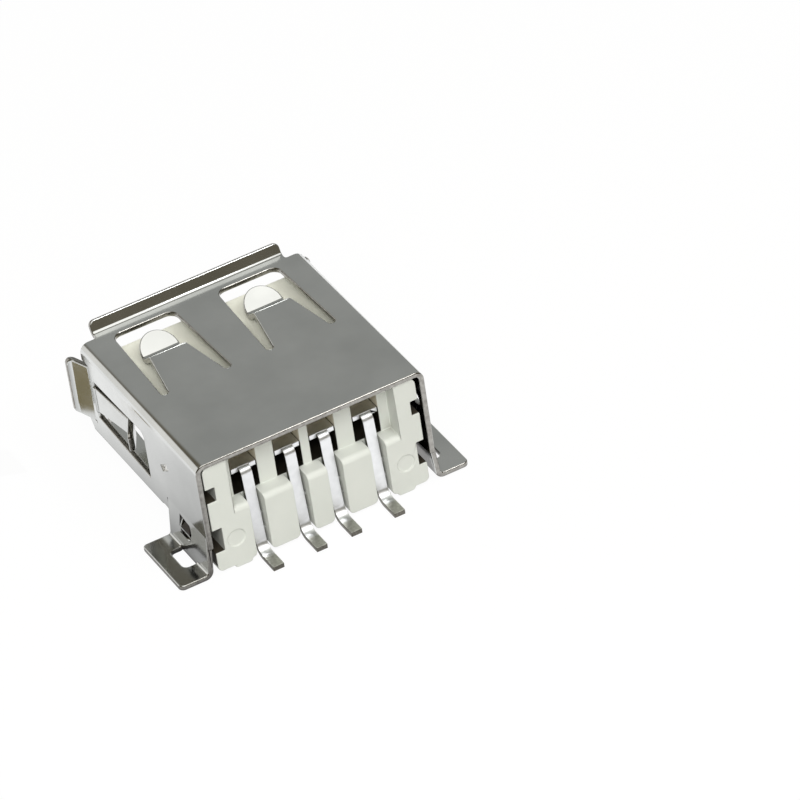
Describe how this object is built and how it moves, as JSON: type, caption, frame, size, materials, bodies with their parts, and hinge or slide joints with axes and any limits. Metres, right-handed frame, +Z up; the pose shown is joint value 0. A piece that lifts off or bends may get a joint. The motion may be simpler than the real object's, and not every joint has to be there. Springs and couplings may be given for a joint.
{
  "type": "usb-a socket",
  "caption": "Board-mounted socket with a folded steel shell, flared mouth, spring fingers, a moulded tongue and bent contacts, soldered flat on a circuit board.",
  "frame": {"origin": "middle of the part in X and Y, on the board's surface under it", "axes": "+Z up from the board, -Y out of the mouth, +Y toward the contacts' feet, +X across the socket"},
  "size_m": [0.0168, 0.0152, 0.0077],
  "materials": {
    "shell_steel": "satin nickel plating with bright cut edges",
    "housing_plastic": "moulded, fine matte, pale grey-green off-white",
    "contact_tin": "matte tin plating over copper alloy"
  },
  "bodies": {
    "root": {"shell": "shell_steel", "housing": "housing_plastic", "contact_1": "contact_tin", "contact_2": "contact_tin", "contact_3": "contact_tin", "contact_4": "contact_tin"}
  },
  "joints": []
}
